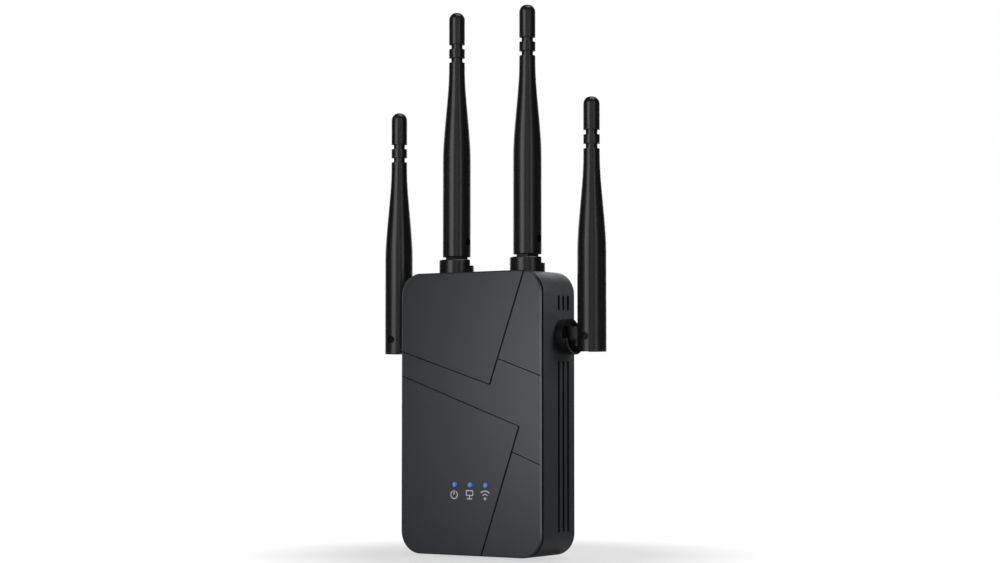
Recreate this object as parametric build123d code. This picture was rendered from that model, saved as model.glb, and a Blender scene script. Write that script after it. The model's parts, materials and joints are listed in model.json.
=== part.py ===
from build123d import *
import math
import os

# Plug-in wifi range extender with four folding antennas. All sizes in mm.
# Frame: origin on the wall face, midway between the plug blades;
# +X to the right seen from the front, +Y into the wall, +Z up.

# ---- body outline ----
BODY_W = 70.4
BODY_D = 26.3
BODY_H = 118.0
CORNER_R = 9.5
BASE_Z = -60.0
TOP_Z = BASE_Z + BODY_H
MID_Z = BASE_Z + BODY_H / 2
FRONT_Y = -BODY_D
SIDE_X = BODY_W / 2

# ---- front cover ----
COVER_T = 2.2
COVER_BACK_Y = FRONT_Y + COVER_T
COVER_RIM_T = 0.8
COVER_BEVEL = 0.5
PARTING_GAP = 1.1
TONGUE_INSET = 1.2
TONGUE_T = 1.0
TONGUE_L = 3.2
COVER_BOSS_R = 3.0
PILOT_R = 1.12
BOLD_GROOVE = (1.2, 0.38)
FINE_GROOVE = (0.6, 0.2)

# ---- rear housing ----
WALL = 2.2
SHELL_FRONT_Y = FRONT_Y + COVER_RIM_T + PARTING_GAP
BACK_EDGE_R = 0.6
FIT = 0.1
REBATE_END_Y = COVER_BACK_Y + TONGUE_L + 0.3
SLOT_W = 1.55
SLOT_PITCH = 3.57
UPPER_SLOT_Z = (BASE_Z + 101.6, BASE_Z + 107.9)
LOWER_SLOT_Z = (BASE_Z + 10.0, BASE_Z + 80.9)

# ---- lights and symbols on the cover ----
LIGHT_PITCH = 7.75
LIGHT_Z = BASE_Z + 29.4
LIGHT_R = 1.5
LIGHT_BAR_T = 1.5
LIGHT_BAR_H = 4.0
LIGHT_BAR_END = 2.0
LIGHT_FEED_R = 1.2
LED_GAP = 0.4
LED_H = 0.7
ICON_Z = BASE_Z + 24.9
ICON_DEPTH = 0.15
ICON_PROUD = 0.03

# ---- plug, two flat blades ----
BLADE_PITCH = 12.7
BLADE_T = 1.5
BLADE_W = 6.35
BLADE_L = 16.5
BLADE_HOLE_R = 1.6
BLADE_HOLE_Y = 12.0
BLADE_BACK_Y = -3.0
BLADE_TAIL_T = 1.0
BLADE_TAIL_W = 2.4
CARRIER_W = 27.0
CARRIER_H = 15.0
CARRIER_R = 3.0
CARRIER_FLANGE = 1.5
CARRIER_FLANGE_T = 1.0

# ---- boards ----
BOARD_T = 1.6
MAIN_FRONT_Y = FRONT_Y + 6.1
MAIN_BACK_Y = MAIN_FRONT_Y + BOARD_T
MAIN_W = 62.0
MAIN_Z = (BASE_Z + 5.0, TOP_Z - 6.0)
POWER_BACK_Y = -3.6
POWER_FRONT_Y = POWER_BACK_Y - BOARD_T
POWER_W = 50.0
POWER_Z = (-29.0, 20.0)
TRANSFORMER_X = 15.0
TRANSFORMER_Y = POWER_FRONT_Y - 5.0
CAN_R = 4.0
HEADER_X = 13.0
HEADER_Z = -25.5
HEADER_PITCH = 2.54
SHEET_Y = MAIN_BACK_Y + 0.9
SHEET_T = 0.3
SHIELD_W = 38.0
SHIELD_H = 2.2
SHIELD_T = 0.2
SHIELD_Z = 23.0

# ---- case screws ----
SCREW_X = 26.8
SCREW_Z = (BASE_Z + 11.0, TOP_Z - 12.0)
SCREW_BOSS_R = 3.6
SCREW_HEAD_R = 2.1
SCREW_HEAD_T = 1.5
SCREW_SHAFT_R = 1.1
SCREW_RECESS_R = 2.4
SCREW_SEAT_Y = -12.0
SCREW_TIP_Y = COVER_BACK_Y + 0.4

# ---- power board screws and posts, rating label ----
POST_R = 2.4
POST_PILOT_R = 0.82
POST_PILOT_END_Y = -1.2
POST_SCREW_HEAD_R = 1.7
POST_SCREW_HEAD_T = 1.2
POST_SCREW_R = 0.8
LABEL_W = 35.6
LABEL_H = 17.6
LABEL_Z = BASE_Z + 24.0
LABEL_PLAY = 0.2
LABEL_DEPTH = 0.2
LABEL_T = 0.15

# ---- ethernet port, in the bottom ----
JACK_W = 15.9
JACK_D = 13.2
JACK_L = 18.0
JACK_SHELL_T = 0.3
JACK_BACK_Y = MAIN_BACK_Y + JACK_D
JACK_Z = BASE_Z + 0.3
PORT_FRONT_Y = MAIN_BACK_Y + 3.2
PORT_W = 11.9
PORT_D = 7.0
PORT_L = 13.0
LATCH_W = 6.2
LATCH_D = 1.9
CONTACT_COUNT = 8
CONTACT_PITCH = 1.02

# ---- buttons, in the bottom ----
WPS_X = -17.5
RESET_X = 15.5
BUTTON_Y = MAIN_BACK_Y + 4.8
WPS_R = 2.5
WPS_FLANGE_R = 3.4
WPS_PROUD = 0.5
RESET_HOLE_R = 0.9
SWITCH_SIZE = 6.0
SWITCH_H = 3.6
PLUNGER_R = 1.5
PLUNGER_L = 1.9
PLUNGER_REACH = 0.9
SWITCH_BORE = 2.4
RUNNING = 0.08
SWITCH_Z = BASE_Z + WALL + 4.0

# ---- antennas ----
INNER_Y = FRONT_Y + 16.6
OUTER_Y = FRONT_Y + 17.3
INNER_X = 18.0
OUTER_Z = BASE_Z + 90.7
PIN_HEIGHT = 13.85
SLEEVE_L = 105.4
SLEEVE_R = 6.0
TIP_R = 3.42
TIP_ROUND = 3.1
PIN_ABOVE_END = 6.3
GROOVE_R = 2.45
TIP_GROOVES = ((13.8, 15.9), (19.6, 21.7))
TAPER_START = 23.5
TAPER_END = 64.5
TAPER_MIDDLE = ((5.54, 53.9), (4.17, 38.3))
SLEEVE_BORE_R = 2.0
SLEEVE_BORE_END = 22.0
PIN_R = 1.25
PIN_HOLE_R = 1.7
PIN_HOLE_DEPTH = 1.2
COLLAR_R = 7.45
COLLAR_RIM_T = 0.9
COLLAR_HOLLOW_Z = 2.4
COLLAR_STEP_Y = -0.8
COLLAR_CHAMFER = 0.35
COLLAR_H = 6.3
COLLAR_LOW_H = 3.8
COLLAR_LIFT = 0.15
TONGUE_THICK = 5.6
TONGUE_WIDTH = 8.2
SIDE_PLAY = 0.3
HEEL_R = 7.2
TAIL_R = 4.4
TAIL_L = 7.0
TAIL_BORE_R = 1.2
CLIP_R = 5.6
CLIP_T = 1.2
CLIP_PLAY = 0.15
CLIP_BITE = 0.8
CLIP_MOUTH = 3.6
CLIP_Z = (-WALL - CLIP_PLAY - CLIP_T, -WALL - CLIP_PLAY)
LEAD_R = 0.65
LEAD_BEND = 2.6
RADIATOR_R = 1.7
RADIATOR_FEED = 12.0
RADIATOR_L = 28.0
RADIATOR_TOP = 58.0
RADIATOR_START = 8.0


# ---- building blocks ----
def block(x, y, z):
    """Box between the limits (low, high) along each axis."""
    size = (x[1] - x[0], y[1] - y[0], z[1] - z[0])
    centre = ((x[0] + x[1]) / 2, (y[0] + y[1]) / 2, (z[0] + z[1]) / 2)
    return Pos(*centre) * Box(*size)


def around(centre, half):
    """Limits that reach half to each side of centre."""
    return (centre - half, centre + half)


def rod_y(x, z, radius, y):
    """Cylinder along Y between two y limits."""
    return Pos(x, (y[0] + y[1]) / 2, z) * Rot(90, 0, 0) * Cylinder(radius, y[1] - y[0])


def rod_z(x, y, radius, z):
    """Cylinder along Z between two z limits."""
    return Pos(x, y, (z[0] + z[1]) / 2) * Cylinder(radius, z[1] - z[0])


def rod_x(y, z, radius, x):
    """Cylinder along X between two x limits."""
    return Pos((x[0] + x[1]) / 2, y, z) * Rot(0, 90, 0) * Cylinder(radius, x[1] - x[0])


def face_plane(y):
    """Plane parallel to the front face at y, looking out of the front; its axes are X and Z."""
    return Plane.XZ.offset(-y)


def slab(inset, y):
    """The body's rounded outline, moved in by inset, between two y limits."""
    outline = RectangleRounded(BODY_W - 2 * inset, BODY_H - 2 * inset, CORNER_R - inset)
    return extrude(face_plane(y[1]) * Pos(0, MID_Z) * outline, amount=y[1] - y[0])


def joined(pieces):
    """One shape made of all the pieces."""
    whole = pieces[0]
    for piece in pieces[1:]:
        whole += piece
    return whole


# ---- front cover, light guide, symbols ----
def groove(start, end, size):
    """V-shaped channel in the front face between two (x, z) points; size is its depth and half width."""
    depth, half = size
    run = Vector(end[0] - start[0], 0, end[1] - start[1])
    across = Plane(origin=(start[0], FRONT_Y, start[1]), x_dir=(0, 1, 0), z_dir=run)
    vee = Polygon((depth, 0), (-depth, 2 * half), (-depth, -2 * half), align=None)
    return extrude(across * vee, amount=run.length)


def cover_grooves():
    """Decorative lines: two bold folds and four fine lines that meet them."""
    upper_fold = (10.0, BASE_Z + 71.0)
    lower_fold = (24.5, BASE_Z + 53.8)
    beyond = SIDE_X + 1.0
    lines = [
        groove((27.27, TOP_Z + 1.0), upper_fold, BOLD_GROOVE),
        groove(lower_fold, (5.35, BASE_Z - 1.0), BOLD_GROOVE),
        groove((-beyond, BASE_Z + 85.5), upper_fold, FINE_GROOVE),
        groove((13.9, BASE_Z + 81.7), (beyond, BASE_Z + 74.0), FINE_GROOVE),
        groove((-beyond, BASE_Z + 75.3), lower_fold, FINE_GROOVE),
        groove((20.8, BASE_Z + 43.4), (beyond, BASE_Z + 37.6), FINE_GROOVE),
    ]
    return joined(lines)


def power_symbol():
    """Open ring with a bar in the gap."""
    ring = Circle(1.85) - Circle(1.38)
    gap = Pos(0, 1.6) * Rectangle(1.5, 1.4)
    bar = Pos(0, 0.98) * RectangleRounded(0.48, 2.1, 0.2)
    return Pos(0, 0.25) * ((ring - gap) + bar)


def computer_symbol():
    """Screen outline on a foot."""
    screen = Pos(0, 1.1) * (RectangleRounded(3.65, 2.4, 0.4) - RectangleRounded(2.8, 1.55, 0.15))
    stem = Pos(0, -0.6) * Rectangle(0.5, 1.3)
    foot = Pos(0, -1.29) * RectangleRounded(2.7, 0.45, 0.2)
    return screen + stem + foot


def waves_symbol():
    """Two arcs over a dot."""
    reach = 3.6
    wedge = Polygon((0, 0), (-reach, reach * 1.15), (reach, reach * 1.15), align=None)
    arcs = (Circle(3.42) - Circle(2.92)) + (Circle(2.04) - Circle(1.56))
    dot = Circle(0.6)
    return Pos(0, -1.1) * ((arcs & wedge) + dot)


def led_icons():
    """Three printed pads let into the cover's face."""
    symbols = (power_symbol(), computer_symbol(), waves_symbol())
    plane = face_plane(FRONT_Y + ICON_DEPTH)
    pads = []
    for index, symbol in enumerate(symbols):
        placed = plane * Pos((index - 1) * LIGHT_PITCH, ICON_Z) * symbol
        pads.append(extrude(placed, amount=ICON_DEPTH + ICON_PROUD))
    return Compound(children=[solid for pad in pads for solid in pad.solids()])


def light_positions():
    """(x, z) of the three lights."""
    return [(step * LIGHT_PITCH, LIGHT_Z) for step in (-1, 0, 1)]


def screw_positions():
    """(x, z) of the four case screws."""
    return [(x, z) for x in (-SCREW_X, SCREW_X) for z in SCREW_Z]


def front_cover(icons):
    """Face plate with a thin bevelled rim, a tongue that enters the housing, and screw bosses."""
    rim = slab(0, (FRONT_Y, FRONT_Y + COVER_RIM_T))
    rim = chamfer(rim.faces().sort_by(Axis.Y)[0].edges(), COVER_BEVEL)
    tongue = slab(TONGUE_INSET, (FRONT_Y + COVER_RIM_T, COVER_BACK_Y + TONGUE_L))
    tongue -= slab(TONGUE_INSET + TONGUE_T, (COVER_BACK_Y, COVER_BACK_Y + TONGUE_L))
    cover = rim + tongue
    for x, z in screw_positions():
        cover += rod_y(x, z, COVER_BOSS_R, (COVER_BACK_Y, MAIN_FRONT_Y))
        cover -= rod_y(x, z, PILOT_R, (SCREW_TIP_Y, MAIN_FRONT_Y))
    for x, z in light_positions():
        cover -= rod_y(x, z, LIGHT_R + FIT, (FRONT_Y, COVER_BACK_Y))
    for icon in icons.solids():
        cover -= icon
    return cover - cover_grooves()


def light_guide():
    """Clear bar behind the cover with one short pin per light."""
    bar_y = (COVER_BACK_Y + FIT, COVER_BACK_Y + FIT + LIGHT_BAR_T)
    guide = block(around(0, LIGHT_PITCH + LIGHT_BAR_END), bar_y, around(LIGHT_Z, LIGHT_BAR_H / 2))
    for x, z in light_positions():
        pin = rod_y(x, z, LIGHT_R, (FRONT_Y, bar_y[0]))
        guide += fillet(pin.faces().sort_by(Axis.Y)[0].edges(), 0.3)
        guide += rod_y(x, z, LIGHT_FEED_R, (bar_y[1], MAIN_FRONT_Y - LED_H - LED_GAP))
    return guide


# ---- rear housing and what is on it ----
def vent_slots():
    """Three short slots above the outer hinge and three long ones below it, on both sides."""
    cuts = []
    for side in (-1, 1):
        for step in (-1, 0, 1):
            y = OUTER_Y + step * SLOT_PITCH
            for low, high in (UPPER_SLOT_Z, LOWER_SLOT_Z):
                middle = Pos(side * SIDE_X, y, (low + high) / 2)
                slot = SlotOverall(high - low, SLOT_W)
                plane = Plane(origin=(0, 0, 0), x_dir=(0, 0, 1), z_dir=(1, 0, 0))
                cuts.append(middle * extrude(plane * slot, amount=WALL + 1.0, both=True))
    return cuts


def rear_housing():
    """Open-fronted shell with screw tubes, vents, and the openings for plug, port, buttons and antennas."""
    shell = slab(0, (SHELL_FRONT_Y, 0))
    shell = fillet(shell.faces().sort_by(Axis.Y)[-1].edges(), BACK_EDGE_R)
    shell -= slab(WALL, (SHELL_FRONT_Y, -WALL))
    shell -= slab(TONGUE_INSET - FIT, (SHELL_FRONT_Y, REBATE_END_Y))
    for x, z in screw_positions():
        shell += rod_y(x, z, SCREW_BOSS_R, (MAIN_BACK_Y, -WALL / 2)) & slab(WALL / 2, (MAIN_BACK_Y, 0))
        shell -= rod_y(x, z, SCREW_RECESS_R, (SCREW_SEAT_Y, 0))
        shell -= rod_y(x, z, SCREW_SHAFT_R + 0.2, (MAIN_BACK_Y, SCREW_SEAT_Y))
    for x, z in power_screw_positions():
        shell += rod_y(x, z, POST_R, (POWER_BACK_Y, -WALL))
        shell -= rod_y(x, z, POST_PILOT_R, (POWER_BACK_Y, POST_PILOT_END_Y))
    for cut in vent_slots():
        shell -= cut
    shell -= plug_carrier_block(FIT)
    floor_z = (BASE_Z, BASE_Z + WALL)
    jack_y = (MAIN_BACK_Y - FIT, JACK_BACK_Y + FIT)
    shell -= block(around(0, JACK_W / 2 + FIT), jack_y, floor_z)
    shell -= rod_z(WPS_X, BUTTON_Y, WPS_R + RUNNING, floor_z)
    shell -= rod_z(RESET_X, BUTTON_Y, RESET_HOLE_R, floor_z)
    for side in (-1, 1):
        shell -= rod_z(side * INNER_X, INNER_Y, TAIL_R + RUNNING, (TOP_Z - WALL, TOP_Z))
        wall_x = sorted((side * (SIDE_X - WALL), side * SIDE_X))
        shell -= rod_x(OUTER_Y, OUTER_Z, TAIL_R + RUNNING, wall_x)
    return shell - label_recess()


def label_recess():
    """Shallow pocket on the back for the rating label, below the plug."""
    half_w = LABEL_W / 2 + LABEL_PLAY
    half_h = LABEL_H / 2 + LABEL_PLAY
    return block(around(0, half_w), (-LABEL_DEPTH, 0), around(LABEL_Z, half_h))


def rating_label():
    """Thin film that lies a little below the back face."""
    y = (-LABEL_DEPTH, -LABEL_DEPTH + LABEL_T)
    return block(around(0, LABEL_W / 2), y, around(LABEL_Z, LABEL_H / 2))


def case_screws():
    """Four cross-head screws, deep in the housing's tubes, that hold housing, board and cover together."""
    screws = []
    for x, z in screw_positions():
        head = rod_y(x, z, SCREW_HEAD_R, (SCREW_SEAT_Y, SCREW_SEAT_Y + SCREW_HEAD_T))
        head = fillet(head.faces().sort_by(Axis.Y)[-1].edges(), 0.4)
        shaft = rod_y(x, z, SCREW_SHAFT_R, (SCREW_TIP_Y + 0.6, SCREW_SEAT_Y))
        screw = head + shaft
        for turn in (0, 90):
            cross = Pos(x, SCREW_SEAT_Y + SCREW_HEAD_T, z) * Rot(0, turn, 0) * Box(2.4, 1.8, 0.5)
            screw -= cross
        screws.append(screw)
    return Compound(children=screws)


def power_screw_positions():
    """(x, z) of the power board's two screws, in opposite corners."""
    return [(-21.5, POWER_Z[1] - 3.5), (21.5, POWER_Z[0] + 3.5)]


def power_board_screws():
    """Two pan-head screws through the power board into the housing's posts."""
    screws = []
    for x, z in power_screw_positions():
        head = rod_y(x, z, POST_SCREW_HEAD_R, (POWER_FRONT_Y - POST_SCREW_HEAD_T, POWER_FRONT_Y))
        head = fillet(head.faces().sort_by(Axis.Y)[0].edges(), 0.3)
        screws.append(head + rod_y(x, z, POST_SCREW_R, (POWER_FRONT_Y, POST_PILOT_END_Y - 0.3)))
    return Compound(children=screws)


# ---- plug ----
def plug_carrier_block(growth):
    """The part of the carrier that fills the back wall's window, grown all round by growth."""
    window = RectangleRounded(CARRIER_W + 2 * growth, CARRIER_H + 2 * growth, CARRIER_R)
    return extrude(face_plane(0) * window, amount=WALL)


def plug_carrier():
    """Insulating block in the back wall, with a flange inside the wall and slots for the blades."""
    grown = CARRIER_W + 2 * CARRIER_FLANGE
    flange = RectangleRounded(grown, CARRIER_H + 2 * CARRIER_FLANGE, CARRIER_R + CARRIER_FLANGE)
    carrier = plug_carrier_block(0) + extrude(face_plane(-WALL) * flange, amount=CARRIER_FLANGE_T)
    for blade in plug_blades():
        carrier -= blade
    return carrier


def plug_blades():
    """Two flat blades with a hole near the tip and a narrow solder tail."""
    blades = []
    for side in (-1, 1):
        x = side * BLADE_PITCH / 2
        blade = block(around(x, BLADE_T / 2), (BLADE_BACK_Y, BLADE_L), around(0, BLADE_W / 2))
        tip = blade.faces().sort_by(Axis.Y)[-1].edges()
        blade = chamfer(tip, 0.5)
        blade -= rod_x(BLADE_HOLE_Y, 0, BLADE_HOLE_R, around(x, BLADE_T))
        tail_y = (POWER_FRONT_Y - 1.0, BLADE_BACK_Y)
        blade += block(around(x, BLADE_TAIL_T / 2), tail_y, around(0, BLADE_TAIL_W / 2))
        blades.append(blade)
    return blades


# ---- boards ----
def main_board():
    """Logic board behind the cover, with holes for the four case screws."""
    board = block(around(0, MAIN_W / 2), (MAIN_FRONT_Y, MAIN_BACK_Y), MAIN_Z)
    board = fillet(board.edges().filter_by(Axis.Y), 4.0)
    for x, z in screw_positions():
        board -= rod_y(x, z, SCREW_SHAFT_R + 0.2, (MAIN_FRONT_Y, MAIN_BACK_Y))
    return board


def on_main_back(x, z, height):
    """Block standing on the main board's back, with x and z limits."""
    return block(x, (MAIN_BACK_Y, MAIN_BACK_Y + height), z)


def led_chips():
    """One light emitting chip behind each pin of the light guide."""
    chips = []
    for x, z in light_positions():
        chips.append(block(around(x, 0.8), (MAIN_FRONT_Y - LED_H, MAIN_FRONT_Y), around(z, 0.4)))
    return Compound(children=chips)


def radio_shield():
    """Drawn metal can over the radio section, on the front of the main board."""
    half = SHIELD_W / 2
    top_y = MAIN_FRONT_Y - SHIELD_H
    t = SHIELD_T
    can = block(around(0, half), (top_y, MAIN_FRONT_Y), around(SHIELD_Z, half - 6.0))
    can = fillet(can.faces().sort_by(Axis.Y)[0].edges(), 0.5)
    can -= block(around(0, half - t), (top_y + t, MAIN_FRONT_Y), around(SHIELD_Z, half - 6.0 - t))
    for column in range(-3, 4):
        for row in (-1, 0, 1):
            can -= rod_y(column * 4.5, SHIELD_Z + row * 6.0, 0.6, around(top_y, 1.0))
    return can


def radio_chips():
    """Two radio chips under the shield."""
    return Compound(children=[
        block(around(side * 9.0, 3.5), (MAIN_FRONT_Y - 0.9, MAIN_FRONT_Y), around(SHIELD_Z, 3.5))
        for side in (-1, 1)
    ])


def processor_chip():
    return block(around(0, 6.0), (MAIN_FRONT_Y - 1.2, MAIN_FRONT_Y), around(-7.0, 6.0))


def memory_chip():
    return block(around(17.0, 4.0), (MAIN_FRONT_Y - 1.1, MAIN_FRONT_Y), around(-7.0, 5.0))


def header_pin_positions():
    return [(HEADER_X + (index - 1.5) * HEADER_PITCH, HEADER_Z) for index in range(4)]


def board_header():
    """Row of pins that joins the power board to the main board."""
    half = 2 * HEADER_PITCH
    body = block(around(HEADER_X, half), (MAIN_BACK_Y, MAIN_BACK_Y + 2.5), around(HEADER_Z, 1.25))
    for x, z in header_pin_positions():
        body += block(around(x, 0.32), (MAIN_BACK_Y + 2.5, -2.8), around(z, 0.32))
    return body


# ---- ethernet port ----
def jack_shell():
    """Folded metal shield, open at the mouth."""
    outer_z = (JACK_Z, JACK_Z + JACK_L)
    shell = block(around(0, JACK_W / 2), (MAIN_BACK_Y, JACK_BACK_Y), outer_z)
    t = JACK_SHELL_T
    hollow_y = (MAIN_BACK_Y, JACK_BACK_Y - t)
    return shell - block(around(0, JACK_W / 2 - t), hollow_y, (outer_z[0], outer_z[1] - t))


def port_hollow():
    """Space for the plug: the main cavity, and the latch's notch towards the cover."""
    mouth_z = (JACK_Z, JACK_Z + PORT_L)
    cavity = block(around(0, PORT_W / 2), (PORT_FRONT_Y, PORT_FRONT_Y + PORT_D), mouth_z)
    return cavity + block(around(0, LATCH_W / 2), (PORT_FRONT_Y - LATCH_D, PORT_FRONT_Y), mouth_z)


def jack_insert():
    """Moulded insert inside the shield, with the plug's cavity and the contacts' slots."""
    t = JACK_SHELL_T
    z = (BASE_Z + 0.5, BASE_Z + JACK_L - t)
    body = block(around(0, JACK_W / 2 - t - 0.05), (MAIN_BACK_Y, JACK_BACK_Y - t - 0.05), z)
    return body - port_hollow() - joined(contact_wires(0.06))


def contact_wires(growth):
    """Eight sprung wires along the back of the cavity."""
    wires = []
    half = 0.22 + growth
    back = PORT_FRONT_Y + PORT_D
    for index in range(CONTACT_COUNT):
        x = (index - (CONTACT_COUNT - 1) / 2) * CONTACT_PITCH
        wires.append(block(around(x, half), around(back, half), (BASE_Z + 3.5, BASE_Z + 15.5)))
    return wires


def lan_transformer():
    return on_main_back(around(0, 6.0), (BASE_Z + 20.5, BASE_Z + 27.5), 0.85)


# ---- buttons ----
def tact_switch(x):
    """Side-acting switch on the main board's back edge, with a bore for its plunger."""
    y = (MAIN_BACK_Y, BUTTON_Y + PLUNGER_R + 0.9)
    body = block(around(x, SWITCH_SIZE / 2), y, (SWITCH_Z, SWITCH_Z + SWITCH_H))
    return body - rod_z(x, BUTTON_Y, PLUNGER_R + RUNNING, (SWITCH_Z, SWITCH_Z + SWITCH_BORE))


def plunger(x):
    """A switch's plunger, standing out of its bore."""
    start = SWITCH_Z - PLUNGER_REACH
    return rod_z(x, BUTTON_Y, PLUNGER_R, (start, start + PLUNGER_L))


def wps_button():
    """Round button with a flange inside the wall and a stem up to the switch's plunger."""
    inside = BASE_Z + WALL
    cap = rod_z(WPS_X, BUTTON_Y, WPS_R, (BASE_Z - WPS_PROUD, inside + 0.1))
    cap = fillet(cap.faces().sort_by(Axis.Z)[0].edges(), 0.4)
    flange = rod_z(WPS_X, BUTTON_Y, WPS_FLANGE_R, (inside + 0.1, inside + 1.1))
    stem = rod_z(WPS_X, BUTTON_Y, 1.2, (inside + 1.1, SWITCH_Z - PLUNGER_REACH))
    return cap + flange + stem


def reset_plunger():
    """The reset switch's own plunger, with a nose that ends just inside the pin hole."""
    nose = rod_z(RESET_X, BUTTON_Y, 0.7, (BASE_Z + WALL + 0.3, SWITCH_Z - PLUNGER_REACH))
    return plunger(RESET_X) + nose


# ---- power board's parts ----
def power_board():
    """Board behind the plug, with slots for the blades' tails and holes for the header's pins."""
    board = block(around(0, POWER_W / 2), (POWER_FRONT_Y, POWER_BACK_Y), POWER_Z)
    board = fillet(board.edges().filter_by(Axis.Y), 1.5)
    for x, z in power_screw_positions():
        board -= rod_y(x, z, 1.0, (POWER_FRONT_Y, POWER_BACK_Y))
    for side in (-1, 1):
        x = side * BLADE_PITCH / 2
        slot_t = BLADE_TAIL_T / 2 + FIT
        board -= block(around(x, slot_t), (POWER_FRONT_Y, POWER_BACK_Y), around(0, BLADE_TAIL_W / 2 + FIT))
    for x, z in header_pin_positions():
        board -= block(around(x, 0.4), (POWER_FRONT_Y, POWER_BACK_Y), around(z, 0.4))
    return board


def on_power(x, z, height):
    """Block standing on the power board's front."""
    return block(x, (POWER_FRONT_Y - height, POWER_FRONT_Y), z)


def transformer_bobbin():
    """Bobbin with two flanges; its winding sits between them."""
    x = around(TRANSFORMER_X, 6.0)
    bobbin = on_power(x, (4.0, 5.2), 10.0) + on_power(x, (14.0, 15.2), 10.0)
    bobbin += block(around(TRANSFORMER_X, 2.6), around(TRANSFORMER_Y, 2.4), (5.2, 14.0))
    return bobbin - block(around(TRANSFORMER_X, 2.0), around(TRANSFORMER_Y, 1.8), (4.0, 15.2))


def transformer_core():
    """Pair of E cores closed into a frame, with the centre leg through the bobbin."""
    y = around(TRANSFORMER_Y, 1.7)
    window = (3.9, 15.3)
    frame = block(around(TRANSFORMER_X, 8.0), y, (1.4, 17.8))
    frame -= block(around(TRANSFORMER_X, 6.2), y, window)
    return frame + block(around(TRANSFORMER_X, 1.9), y, window)


def transformer_winding():
    """Taped winding around the bobbin's barrel."""
    z = (5.3, 13.9)
    outer = block(around(TRANSFORMER_X, 5.1), around(TRANSFORMER_Y, 4.4), z)
    outer = fillet(outer.edges().filter_by(Axis.Z), 2.0)
    return outer - block(around(TRANSFORMER_X, 2.6), around(TRANSFORMER_Y, 2.4), z)


def bulk_capacitors():
    """Two electrolytic cans lying side by side."""
    cans = []
    for z, x in ((12.6, (-17.0, -3.0)), (4.0, (-19.0, -5.0))):
        can = rod_x(POWER_FRONT_Y - CAN_R - FIT, z, CAN_R, x)
        cans.append(fillet(can.faces().sort_by(Axis.X)[0].edges(), 0.7))
    return Compound(children=cans)


def safety_capacitor():
    """Moulded box across the mains input."""
    case = on_power((-22.5, -10.0), (-9.5, -4.0), 9.0)
    return fillet(case.edges().filter_by(Axis.Y), 0.6)


def fuse():
    """Round delay fuse standing on the board."""
    return rod_y(-19.0, -15.2, CAN_R, (POWER_FRONT_Y - 8.0, POWER_FRONT_Y))


def bridge_rectifier():
    return on_power((-12.5, -6.0), (-17.8, -13.0), 2.4)


def controller_chip():
    return on_power((-2.0, 3.0), (-18.0, -12.0), 1.6)


def line_inductor():
    """Drum-shaped choke: two flanges on a wound waist."""
    x, z = 9.4, -14.6
    inductor = rod_y(x, z, 3.0, (POWER_FRONT_Y - 7.0, POWER_FRONT_Y))
    for start in (POWER_FRONT_Y - 7.0, POWER_FRONT_Y - 1.2):
        inductor += rod_y(x, z, 3.6, (start, start + 1.2))
    return inductor


def output_capacitor():
    """Electrolytic can standing on the board."""
    can = rod_y(17.6, -5.4, CAN_R, (POWER_FRONT_Y - 9.6, POWER_FRONT_Y))
    return fillet(can.faces().sort_by(Axis.Y)[0].edges(), 0.7)


def insulation_sheet():
    """Thin sheet between the two boards, above the header."""
    return block(around(0, 22.0), (SHEET_Y, SHEET_Y + SHEET_T), (-22.0, 24.0))


# ---- antennas ----
# Each is built at the origin as the inner right one stands: the surface it turns on is z = 0,
# the swivel axis is Z, the hinge axis is X, and it folds towards +Y.
def swivel_base():
    """Hollow collar, lower on the side it folds to, with the hinge tongue above and a tail below."""
    collar = rod_z(0, 0, COLLAR_R, (COLLAR_LIFT, COLLAR_H))
    collar = chamfer(collar.faces().sort_by(Axis.Z)[-1].edges(), COLLAR_CHAMFER)
    beyond = COLLAR_R + 1.0
    collar -= block(around(0, beyond), (COLLAR_STEP_Y, beyond), (COLLAR_LOW_H, COLLAR_H + 1.0))
    collar -= rod_z(0, 0, COLLAR_R - COLLAR_RIM_T, (COLLAR_HOLLOW_Z, COLLAR_H + 1.0))
    half = TONGUE_WIDTH / 2
    tongue = block(around(0, TONGUE_THICK / 2), around(0, half), (COLLAR_HOLLOW_Z - 0.5, PIN_HEIGHT))
    tongue += rod_x(0, PIN_HEIGHT, half, around(0, TONGUE_THICK / 2))
    base = collar + tongue + rod_z(0, 0, TAIL_R, (-TAIL_L, COLLAR_LIFT))
    base -= rod_z(0, 0, TAIL_R, CLIP_Z) - rod_z(0, 0, TAIL_R - CLIP_BITE, CLIP_Z)
    base -= rod_x(0, PIN_HEIGHT, PIN_R + RUNNING, around(0, TONGUE_THICK))
    return base - rod_z(0, 0, TAIL_BORE_R, (-TAIL_L, PIN_HEIGHT - PIN_R - 2.0))


def retaining_clip():
    """Open spring ring in the tail's groove, inside the wall."""
    ring = rod_z(0, 0, CLIP_R, CLIP_Z) - rod_z(0, 0, TAIL_R - CLIP_BITE, CLIP_Z)
    return ring - block(around(0, CLIP_MOUTH / 2), (0, CLIP_R), CLIP_Z)


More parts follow.
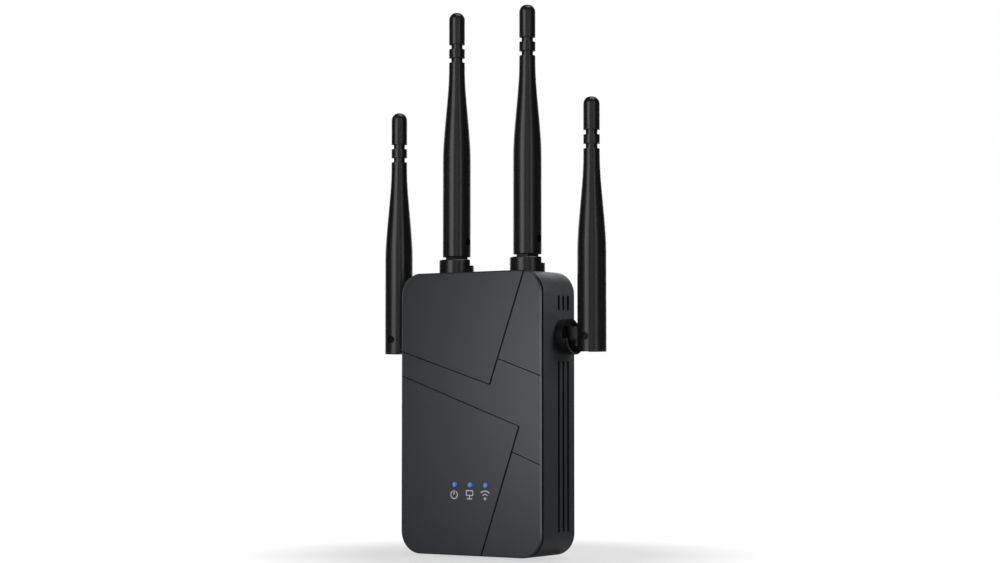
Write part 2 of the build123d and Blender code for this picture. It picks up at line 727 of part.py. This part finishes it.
def sleeve_profile():
    """Half outline of the sleeve from its end to the domed tip, in the plane of its axis."""
    tip = SLEEVE_L
    dome_start = tip - TIP_ROUND
    flat = TIP_R - TIP_ROUND
    diagonal = TIP_ROUND * math.sqrt(0.5)
    dome_middle = (flat + diagonal, dome_start + diagonal)
    taper = Spline(
        (SLEEVE_R, tip - TAPER_END),
        *[(radius, tip - below) for radius, below in TAPER_MIDDLE],
        (TIP_R, tip - TAPER_START),
        tangents=[(0, 1), (0, 1)],
    )
    outline = Line((0, 0), (SLEEVE_R - 0.2, 0)) + Line((SLEEVE_R - 0.2, 0), (SLEEVE_R, 0.2))
    outline += Line((SLEEVE_R, 0.2), (SLEEVE_R, tip - TAPER_END)) + taper
    outline += Line((TIP_R, tip - TAPER_START), (TIP_R, dome_start))
    outline += ThreePointArc((TIP_R, dome_start), dome_middle, (flat, tip))
    outline += Line((flat, tip), (0, tip)) + Line((0, tip), (0, 0))
    return make_face(Plane.XZ * outline)


def antenna_sleeve():
    """Tapered sleeve with two square grooves near the tip, a hinge slot and a bore for the radiator."""
    sleeve = revolve(sleeve_profile(), axis=Axis.Z)
    for near, far in TIP_GROOVES:
        z = (SLEEVE_L - far, SLEEVE_L - near)
        sleeve -= rod_z(0, 0, TIP_R + 1.0, z) - rod_z(0, 0, GROOVE_R, z)
    sleeve -= rod_z(0, 0, SLEEVE_BORE_R, (0, SLEEVE_L - SLEEVE_BORE_END - 6.0))
    back = TONGUE_WIDTH / 2 + SIDE_PLAY
    slot_x = around(0, TONGUE_THICK / 2 + SIDE_PLAY)
    sleeve -= block(slot_x, (-back, SLEEVE_R + 1.0), (-1.0, PIN_ABOVE_END + back))
    heel = block(around(0, SLEEVE_R + 1.0), (0, SLEEVE_R + 1.0), (-1.0, PIN_ABOVE_END))
    heel -= rod_x(0, PIN_ABOVE_END, HEEL_R, around(0, SLEEVE_R + 1.0))
    sleeve -= heel
    sleeve -= rod_x(0, PIN_ABOVE_END, PIN_R, around(0, SLEEVE_R + 1.0))
    for side in (-1, 1):
        mouth = sorted((side * (SLEEVE_R - PIN_HOLE_DEPTH), side * (SLEEVE_R + 1.0)))
        sleeve -= rod_x(0, PIN_ABOVE_END, PIN_HOLE_R, mouth)
    return Pos(0, 0, PIN_HEIGHT - PIN_ABOVE_END) * sleeve


def hinge_pin():
    """Pin through the sleeve's cheeks and the tongue, ending inside the two mouths."""
    reach = SLEEVE_R - PIN_HOLE_DEPTH - 0.1
    return rod_x(0, PIN_HEIGHT, PIN_R, around(0, reach))


def radiator():
    """Brass dipole tube on a coaxial stub, inside the sleeve's bore."""
    start = PIN_HEIGHT + RADIATOR_START
    tube_start = start + RADIATOR_FEED
    tube = rod_z(0, 0, RADIATOR_R, (tube_start, tube_start + RADIATOR_L))
    return tube + rod_z(0, 0, LEAD_R, (start, start + RADIATOR_TOP))


def inner_place(side):
    """Where an inner antenna stands: on the top, folding backwards."""
    return Pos(side * INNER_X, INNER_Y, TOP_Z)


def outer_place(side):
    """Where an outer antenna's base sits: on the side wall, folding upwards."""
    plane = Plane(origin=(side * SIDE_X, OUTER_Y, OUTER_Z), x_dir=(0, side, 0), z_dir=(side, 0, 0))
    return plane.location


def folded():
    """Turn of the sleeve about its pin from straight out to fully folded."""
    return Pos(0, 0, PIN_HEIGHT) * Rot(-90, 0, 0) * Pos(0, 0, -PIN_HEIGHT)


def antennas():
    """Every antenna's nodes by name: inner ones stand straight, outer ones are folded up."""
    nodes = {}
    for label, side in (("left", -1), ("right", 1)):
        rows = (("inner", inner_place(side), Pos(0, 0, 0)), ("outer", outer_place(side), folded()))
        for row, place, turn in rows:
            name = f"{row}_{label}"
            nodes[f"swivel_base_{name}"] = place * swivel_base()
            nodes[f"retaining_clip_{name}"] = place * retaining_clip()
            nodes[f"antenna_sleeve_{name}"] = place * turn * antenna_sleeve()
            nodes[f"hinge_pin_{name}"] = place * turn * hinge_pin()
            nodes[f"radiator_{name}"] = place * turn * radiator()
    return nodes


def bent_lead(points, radius):
    """Coaxial lead: straight runs joined by tangent arcs."""
    path = FilletPolyline(*points, radius=radius)
    section = Plane(origin=points[0], z_dir=Vector(*points[1]) - Vector(*points[0])) * Circle(LEAD_R)
    return sweep(section, path=path)


def antenna_leads():
    """Leads from inside each swivel base's tail to the main board's back."""
    leads = {}
    for label, side in (("left", -1), ("right", 1)):
        end_y = MAIN_BACK_Y + 0.7
        inner = [
            (side * INNER_X, INNER_Y, TOP_Z - TAIL_L - 0.6),
            (side * INNER_X, INNER_Y, TOP_Z - TAIL_L - 7.0),
            (side * INNER_X, end_y, TOP_Z - TAIL_L - 12.0),
            (side * (INNER_X - 4.0), end_y, TOP_Z - TAIL_L - 19.0),
        ]
        outer = [
            (side * (SIDE_X - TAIL_L - 0.6), OUTER_Y, OUTER_Z),
            (side * (SIDE_X - TAIL_L - 6.0), OUTER_Y, OUTER_Z),
            (side * (SIDE_X - TAIL_L - 11.0), end_y, OUTER_Z),
            (side * (SIDE_X - TAIL_L - 17.0), end_y, OUTER_Z - 3.0),
        ]
        leads[f"antenna_lead_inner_{label}"] = bent_lead(inner, LEAD_BEND)
        leads[f"antenna_lead_outer_{label}"] = bent_lead(outer, LEAD_BEND)
    return leads


def all_nodes():
    icons = led_icons()
    nodes = {
        "front_cover": front_cover(icons),
        "rear_housing": rear_housing(),
        "light_guide": light_guide(),
        "led_icons": icons,
        "rating_label": rating_label(),
        "case_screws": case_screws(),
        "power_board_screws": power_board_screws(),
        "plug_carrier": plug_carrier(),
        "plug_blades": Compound(children=plug_blades()),
        "main_board": main_board(),
        "led_chips": led_chips(),
        "radio_shield": radio_shield(),
        "radio_chips": radio_chips(),
        "processor_chip": processor_chip(),
        "memory_chip": memory_chip(),
        "board_header": board_header(),
        "ethernet_jack_shell": jack_shell(),
        "ethernet_jack_insert": jack_insert(),
        "ethernet_contacts": Compound(children=contact_wires(0)),
        "lan_transformer": lan_transformer(),
        "tact_switches": Compound(children=[tact_switch(WPS_X), tact_switch(RESET_X)]),
        "wps_plunger": plunger(WPS_X),
        "wps_button": wps_button(),
        "reset_plunger": reset_plunger(),
        "power_board": power_board(),
        "transformer_core": transformer_core(),
        "transformer_bobbin": transformer_bobbin(),
        "transformer_winding": transformer_winding(),
        "bulk_capacitors": bulk_capacitors(),
        "safety_capacitor": safety_capacitor(),
        "fuse": fuse(),
        "bridge_rectifier": bridge_rectifier(),
        "controller_chip": controller_chip(),
        "line_inductor": line_inductor(),
        "output_capacitor": output_capacitor(),
        "insulation_sheet": insulation_sheet(),
    }
    nodes.update(antenna_leads())
    nodes.update(antennas())
    return nodes


os.makedirs("parts", exist_ok=True)
for node_name, shape in all_nodes().items():
    export_step(shape, f"parts/{node_name}.step")
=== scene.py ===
import bpy
import json
import math
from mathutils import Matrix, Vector


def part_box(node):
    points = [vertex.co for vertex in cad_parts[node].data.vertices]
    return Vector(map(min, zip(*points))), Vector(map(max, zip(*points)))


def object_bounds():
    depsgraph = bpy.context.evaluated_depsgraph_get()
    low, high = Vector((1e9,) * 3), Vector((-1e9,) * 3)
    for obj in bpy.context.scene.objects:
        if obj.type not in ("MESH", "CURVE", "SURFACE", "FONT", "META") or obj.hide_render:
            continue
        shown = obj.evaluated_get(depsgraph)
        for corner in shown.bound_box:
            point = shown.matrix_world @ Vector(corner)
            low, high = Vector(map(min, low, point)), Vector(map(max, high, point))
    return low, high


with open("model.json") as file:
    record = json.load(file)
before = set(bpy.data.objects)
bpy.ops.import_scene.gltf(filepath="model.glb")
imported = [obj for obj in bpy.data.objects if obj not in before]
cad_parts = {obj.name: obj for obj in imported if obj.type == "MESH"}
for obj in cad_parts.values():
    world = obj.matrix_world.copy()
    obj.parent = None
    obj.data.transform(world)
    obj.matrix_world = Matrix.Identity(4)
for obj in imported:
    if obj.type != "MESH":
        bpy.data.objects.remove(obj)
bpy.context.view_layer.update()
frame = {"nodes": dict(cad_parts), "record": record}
nodes = frame["nodes"]

MM = 0.001
FLOOR_GAP = 0.4 * MM
CAMERA_YAW = 33.52
CAMERA_PITCH = 3.06
CAMERA_LENS = 79.4
CAMERA_FROM_COVER = Vector((517.8, -758.8, 64.8)) * MM
FLOOR_HALF = 6.0
# Floor glow seen by the camera: the near value is painted shade around the object, the far value plain
# white.
FLOOR_GLOW_PAINTED_SHADE_TO_WHITE = (0.60, 1.0)
FLOOR_PAINTED_SHADE_REACH = (0.085, 0.15)
WORLD_SEEN = 1.0
WORLD_LIGHT = 0.06
FLOOR_BOUNCE = 0.10
GUIDE_END = 2.0 * MM
LENS_RADIUS = 1.5 * MM
LENS_CORE = (0.10, 0.20, 0.42)
LENS_EDGE = (0.006, 0.026, 0.13)
NOISE_SPAN = (0.3, 0.7)
TONE_DRIFT_MM = 9.0
GLOSS_DRIFT_MM = 6.0
FACE = ("front_cover", "light_guide", "led_icons")
SIDE = ("rear_housing",)
OUTER_BASES = ("swivel_base_outer_right", "swivel_base_outer_left")


# ---- camera, floor, background and lights ----
def add_camera():
    """Camera low on the right, turned to the left and slightly up."""
    low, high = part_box("front_cover")
    foot = Vector(((low.x + high.x) / 2, low.y, low.z))
    data = bpy.data.cameras.new("view_camera")
    data.lens = CAMERA_LENS
    data.sensor_width = 36.0
    camera = bpy.data.objects.new("view_camera", data)
    camera.location = foot + CAMERA_FROM_COVER
    camera.rotation_euler = (math.radians(90 + CAMERA_PITCH), 0, math.radians(CAMERA_YAW))
    bpy.context.scene.collection.objects.link(camera)
    bpy.context.scene.camera = camera


def add_area_light(name, target, direction, distance, size, power):
    """Area light at distance from target along direction, facing the target."""
    data = bpy.data.lights.new(name, "AREA")
    data.shape = "RECTANGLE"
    data.size = size[0]
    data.size_y = size[1]
    data.energy = power
    light = bpy.data.objects.new(name, data)
    away = Vector(direction).normalized()
    light.location = target + away * distance
    light.rotation_euler = away.to_track_quat("Z", "Y").to_euler()
    bpy.context.scene.collection.objects.link(light)
    return light


def light_group(light, names, blockers=None):
    """Lets a light reach only the named CAD nodes; where blockers are given, only they shade it."""
    reached = bpy.data.collections.new(light.name + "_reach")
    for name in names:
        reached.objects.link(nodes[name])
    light.light_linking.receiver_collection = reached
    if blockers:
        stopping = bpy.data.collections.new(light.name + "_blockers")
        for name in blockers:
            stopping.objects.link(nodes[name])
        light.light_linking.blocker_collection = stopping
    light.visible_camera = False


def add_lights():
    """Strips and back lights around the object, and near panels that grade the cover and side wall."""
    low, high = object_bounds()
    middle = (Vector(low) + Vector(high)) / 2
    cover_low, cover_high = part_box("front_cover")
    cover_middle = (Vector(cover_low) + Vector(cover_high)) / 2
    not_face = [name for name in nodes if name not in FACE]
    rows = (
        # name, target, direction, distance, size, power, nodes it reaches, nodes that block it
        ("overhead", middle, (0.1, 0.1, 1.0), 1.2, (0.9, 0.7), 5.0, None, None),
        ("strip_right", middle, (0.91, -0.41, 0.10), 1.3, (0.30, 1.2), 2.0, None, None),
        ("fill", middle, (0.55, -0.83, 0.05), 1.3, (0.5, 1.2), 1.5, not_face, None),
        ("back_left", middle, (-0.85, 0.52, 0.15), 1.2, (0.5, 1.0), 2.2, nodes, None),
        ("back", middle, (-0.25, 0.95, 0.25), 1.3, (0.7, 0.9), 4.0, nodes, None),
        ("strip_left", middle, (-0.17, -0.98, 0.12), 1.2, (0.66, 1.3), 7.4, not_face, None),
        ("near_face", cover_middle, (-0.26, -0.94, 0.08), 0.245, (0.10, 0.14), 0.225, FACE, FACE),
        ("rim", cover_middle, (0.83, -0.55, 0.05), 0.6, (0.12, 0.3), 1.1, FACE, FACE),
        ("near_side", cover_middle, (0.85, 0.25, 0.52), 0.17, (0.05, 0.05), 0.11, SIDE, SIDE + OUTER_BASES),
    )
    for name, target, direction, distance, size, power, reached, blockers in rows:
        light = add_area_light(name, target, direction, distance, size, power)
        if reached:
            light_group(light, reached, blockers)


def add_world():
    """White background; what lights the object is dimmer than what the camera sees."""
    world = bpy.data.worlds.new("studio_world")
    bpy.context.scene.world = world
    world.use_nodes = True
    tree = world.node_tree
    tree.nodes.clear()
    output = tree.nodes.new("ShaderNodeOutputWorld")
    path = tree.nodes.new("ShaderNodeLightPath")
    mix = tree.nodes.new("ShaderNodeMixShader")
    tree.links.new(path.outputs["Is Camera Ray"], mix.inputs[0])
    for socket, strength in ((mix.inputs[1], WORLD_LIGHT), (mix.inputs[2], WORLD_SEEN)):
        shade = tree.nodes.new("ShaderNodeBackground")
        shade.inputs["Color"].default_value = (1, 1, 1, 1)
        shade.inputs["Strength"].default_value = strength
        tree.links.new(shade.outputs[0], socket)
    tree.links.new(mix.outputs[0], output.inputs[0])
    bpy.context.scene.view_settings.view_transform = "Standard"


def add_floor():
    """Large board just below the object."""
    low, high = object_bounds()
    half = FLOOR_HALF
    z = low[2] - FLOOR_GAP
    corners = [(-half, -half, z), (half, -half, z), (half, half, z), (-half, half, z)]
    mesh = bpy.data.meshes.new("floor")
    mesh.from_pydata(corners, [], [(0, 1, 2, 3)])
    floor = bpy.data.objects.new("floor", mesh)
    bpy.context.scene.collection.objects.link(floor)
    mesh.materials.append(floor_material())


# ---- material helpers ----
class Shader:
    """A principled material with short ways to add procedural detail."""

    def __init__(self, name, colour, roughness, metallic=0.0, specular=0.5):
        self.material = bpy.data.materials.new(name)
        self.material.use_nodes = True
        self.tree = self.material.node_tree
        self.surface = self.tree.nodes["Principled BSDF"]
        self.surface.inputs["Base Color"].default_value = (*colour, 1.0)
        self.surface.inputs["Roughness"].default_value = roughness
        self.surface.inputs["Metallic"].default_value = metallic
        self.surface.inputs["Specular IOR Level"].default_value = specular
        self.place = self.node("ShaderNodeTexCoord").outputs["Object"]

    def node(self, kind, **settings):
        made = self.tree.nodes.new(kind)
        for key, value in settings.items():
            setattr(made, key, value)
        return made

    def link(self, source, target):
        self.tree.links.new(source, target)

    def noise(self, size_mm, detail=3.0, roughness=0.5, stretch=(1, 1, 1)):
        """Noise value whose blobs are about size_mm across."""
        mapping = self.node("ShaderNodeMapping")
        mapping.inputs["Scale"].default_value = stretch
        self.link(self.place, mapping.inputs["Vector"])
        texture = self.node("ShaderNodeTexNoise")
        texture.inputs["Scale"].default_value = 1.0 / (size_mm * MM)
        texture.inputs["Detail"].default_value = detail
        texture.inputs["Roughness"].default_value = roughness
        self.link(mapping.outputs["Vector"], texture.inputs["Vector"])
        return texture.outputs["Fac"]

    def vary_colour(self, dark, light, size_mm, stretch=(1, 1, 1), detail=3.0):
        """Base colour that drifts between dark and light."""
        ramp = self.node("ShaderNodeValToRGB")
        ramp.color_ramp.elements[0].position = NOISE_SPAN[0]
        ramp.color_ramp.elements[0].color = (*dark, 1.0)
        ramp.color_ramp.elements[1].position = NOISE_SPAN[1]
        ramp.color_ramp.elements[1].color = (*light, 1.0)
        self.link(self.noise(size_mm, detail, stretch=stretch), ramp.inputs["Fac"])
        self.link(ramp.outputs["Color"], self.surface.inputs["Base Color"])

    def vary_roughness(self, low, high, size_mm, stretch=(1, 1, 1)):
        spread = self.node("ShaderNodeMapRange")
        spread.inputs["From Min"].default_value = NOISE_SPAN[0]
        spread.inputs["From Max"].default_value = NOISE_SPAN[1]
        spread.inputs["To Min"].default_value = low
        spread.inputs["To Max"].default_value = high
        self.link(self.noise(size_mm, 2.0, stretch=stretch), spread.inputs["Value"])
        self.link(spread.outputs["Result"], self.surface.inputs["Roughness"])

    def bump(self, height, depth_mm, strength=1.0):
        """Bump from a height value, chained onto any bump already there."""
        bump = self.node("ShaderNodeBump")
        bump.inputs["Strength"].default_value = strength
        bump.inputs["Distance"].default_value = depth_mm * MM
        self.link(height, bump.inputs["Height"])
        normal = self.surface.inputs["Normal"]
        if normal.is_linked:
            self.link(normal.links[0].from_socket, bump.inputs["Normal"])
        self.link(bump.outputs["Normal"], normal)


def moulded_plastic(name, colour, roughness, grain_mm=0.16, grain_depth=0.012, spread=0.12,
                    gloss_drift=0.04):
    """Spark-eroded satin plastic: fine grain, slow drift of tone and gloss."""
    shader = Shader(name, colour, roughness)
    dark = tuple(c * (1 - spread) for c in colour)
    light = tuple(c * (1 + spread) for c in colour)
    shader.vary_colour(dark, light, TONE_DRIFT_MM)
    shader.vary_roughness(roughness - gloss_drift, roughness + gloss_drift, GLOSS_DRIFT_MM)
    shader.bump(shader.noise(grain_mm, 2.0, 0.6), grain_depth)
    return shader


def floor_material():
    """Glossy white board, seamless white away from the object and with painted shade around it, that can be
    looked through from below.
    """
    shader = Shader("floor_board", (0.9, 0.9, 0.9), 0.12)
    shader.vary_colour((0.89, 0.89, 0.89), (0.92, 0.92, 0.92), 400.0)
    shader.surface.inputs["Emission Color"].default_value = (1, 1, 1, 1)
    # Painted shade: the glow the camera sees on the floor drops from 1.0 far out to 0.60 near the origin,
    # under the object.
    away = shader.node("ShaderNodeVectorMath", operation="LENGTH")
    shader.link(shader.place, away.inputs[0])
    spread = shader.node("ShaderNodeMapRange")
    spread.inputs["From Min"].default_value, spread.inputs["From Max"].default_value = FLOOR_PAINTED_SHADE_REACH
    spread.inputs["To Min"].default_value, spread.inputs["To Max"].default_value = FLOOR_GLOW_PAINTED_SHADE_TO_WHITE
    shader.link(away.outputs["Value"], spread.inputs["Value"])
    glow = shader.node("ShaderNodeMix")
    glow.inputs[2].default_value = FLOOR_BOUNCE
    shader.link(spread.outputs["Result"], glow.inputs[3])
    shader.link(shader.node("ShaderNodeLightPath").outputs["Is Camera Ray"], glow.inputs[0])
    shader.link(glow.outputs[0], shader.surface.inputs["Emission Strength"])
    see_through = shader.node("ShaderNodeMixShader")
    shader.link(shader.node("ShaderNodeNewGeometry").outputs["Backfacing"], see_through.inputs[0])
    shader.link(shader.surface.outputs[0], see_through.inputs[1])
    shader.link(shader.node("ShaderNodeBsdfTransparent").outputs[0], see_through.inputs[2])
    shader.link(see_through.outputs[0], shader.tree.nodes["Material Output"].inputs["Surface"])
    return shader.material


def metal(name, colour, roughness, brushed=(1, 1, 1), grain_mm=0.3):
    """Bare metal with fine streaks along the direction that brushed stretches."""
    shader = Shader(name, colour, roughness, metallic=1.0)
    dark = tuple(c * 0.86 for c in colour)
    shader.vary_colour(dark, colour, 2.0, brushed)
    shader.vary_roughness(roughness - 0.06, roughness + 0.1, grain_mm, brushed)
    shader.bump(shader.noise(grain_mm, 2.0, stretch=brushed), 0.006)
    return shader


def glowing(name, colour, strength):
    """Clear plastic lit from inside."""
    shader = Shader(name, colour, 0.25)
    shader.vary_colour(tuple(c * 0.8 for c in colour), colour, 0.6)
    shader.surface.inputs["Emission Color"].default_value = (*colour, 1.0)
    shader.surface.inputs["Emission Strength"].default_value = strength
    return shader


def light_lens():
    """Lit light guide: pale blue at each pin's middle, deep blue at its edge."""
    low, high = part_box("light_guide")
    pitch = high.x - GUIDE_END - (low.x + high.x) / 2
    shader = glowing("light_lens", LENS_EDGE, 1.0)
    split = shader.node("ShaderNodeSeparateXYZ")
    shader.link(shader.place, split.inputs[0])
    across = shader.node("ShaderNodeMath", operation="WRAP")
    across.inputs[1].default_value = pitch / 2
    across.inputs[2].default_value = -pitch / 2
    shader.link(split.outputs["X"], across.inputs[0])
    up = shader.node("ShaderNodeMath", operation="SUBTRACT")
    up.inputs[1].default_value = (low.z + high.z) / 2
    shader.link(split.outputs["Z"], up.inputs[0])
    offset = shader.node("ShaderNodeCombineXYZ")
    shader.link(across.outputs[0], offset.inputs["X"])
    shader.link(up.outputs[0], offset.inputs["Z"])
    radius = shader.node("ShaderNodeVectorMath", operation="LENGTH")
    shader.link(offset.outputs[0], radius.inputs[0])
    ramp = shader.node("ShaderNodeValToRGB")
    spread = shader.node("ShaderNodeMapRange")
    spread.inputs["From Max"].default_value = LENS_RADIUS
    shader.link(radius.outputs["Value"], spread.inputs["Value"])
    shader.link(spread.outputs["Result"], ramp.inputs["Fac"])
    ramp.color_ramp.interpolation = "EASE"
    ramp.color_ramp.elements[0].position = 0.15
    ramp.color_ramp.elements[0].color = (*LENS_CORE, 1.0)
    ramp.color_ramp.elements[1].position = 0.95
    ramp.color_ramp.elements[1].color = (*LENS_EDGE, 1.0)
    shader.link(ramp.outputs["Color"], shader.surface.inputs["Emission Color"])
    return shader


def make_materials():
    """One material per slot of the record."""
    made = {
        "cover_plastic": moulded_plastic("cover_plastic", (0.0155, 0.0195, 0.0225), 0.40,
                                         grain_depth=0.006, spread=0.03, gloss_drift=0.006),
        "housing_plastic": moulded_plastic("housing_plastic", (0.016, 0.018, 0.020), 0.46, spread=0.03),
        "antenna_plastic": moulded_plastic("antenna_plastic", (0.0060, 0.0062, 0.0065), 0.30,
                                           grain_mm=0.12, grain_depth=0.0010, spread=0.04, gloss_drift=0.01),
        "carrier_plastic": moulded_plastic("carrier_plastic", (0.02, 0.02, 0.021), 0.5),
        "blade_metal": metal("blade_metal", (0.72, 0.66, 0.54), 0.28, (1, 0.08, 1)),
        "light_lens": light_lens(),
        "icon_ink": moulded_plastic("icon_ink", (0.50, 0.51, 0.52), 0.5, 0.1, 0.004, 0.03),
        "label_film": moulded_plastic("label_film", (0.11, 0.113, 0.118), 0.36, 0.5, 0.003, 0.05),
        "screw_steel": metal("screw_steel", (0.32, 0.32, 0.33), 0.35),
        "board_laminate": moulded_plastic("board_laminate", (0.02, 0.12, 0.05), 0.3, 0.8, 0.02),
        "led_package": glowing("led_package", (0.1, 0.35, 1.0), 2.0),
        "shield_metal": metal("shield_metal", (0.62, 0.62, 0.61), 0.3),
        "chip_epoxy": moulded_plastic("chip_epoxy", (0.012, 0.012, 0.013), 0.55),
        "jack_plastic": moulded_plastic("jack_plastic", (0.016, 0.016, 0.017), 0.45),
        "contact_gold": metal("contact_gold", (0.85, 0.62, 0.28), 0.2),
        "button_plastic": moulded_plastic("button_plastic", (0.035, 0.037, 0.04), 0.42),
        "ferrite": moulded_plastic("ferrite", (0.03, 0.03, 0.032), 0.6, 0.3, 0.02),
        "bobbin_plastic": moulded_plastic("bobbin_plastic", (0.05, 0.04, 0.035), 0.45),
        "winding_tape": moulded_plastic("winding_tape", (0.7, 0.5, 0.05), 0.3, 1.5, 0.03),
        "capacitor_sleeve": moulded_plastic("capacitor_sleeve", (0.02, 0.03, 0.09), 0.25, 0.6, 0.01),
        "safety_yellow": moulded_plastic("safety_yellow", (0.7, 0.5, 0.06), 0.35),
        "fuse_body": moulded_plastic("fuse_body", (0.15, 0.03, 0.02), 0.3),
        "insulation_film": moulded_plastic("insulation_film", (0.7, 0.68, 0.6), 0.35),
        "spring_steel": metal("spring_steel", (0.28, 0.28, 0.29), 0.32),
        "pin_black": metal("pin_black", (0.02, 0.02, 0.021), 0.4),
        "radiator_brass": metal("radiator_brass", (0.72, 0.55, 0.3), 0.25, (1, 1, 0.1)),
        "lead_jacket": moulded_plastic("lead_jacket", (0.08, 0.08, 0.08), 0.35),
    }
    return made


def dress_cad_nodes():
    """Gives every CAD node the material of its slot."""
    made = make_materials()
    for row in frame["record"]["subparts"]:
        node = nodes[row["node"]]
        material = made[row["material_slot"]].material
        node.data.materials.clear()
        node.data.materials.append(material)


add_camera()
add_world()
add_lights()
add_floor()
dress_cad_nodes()
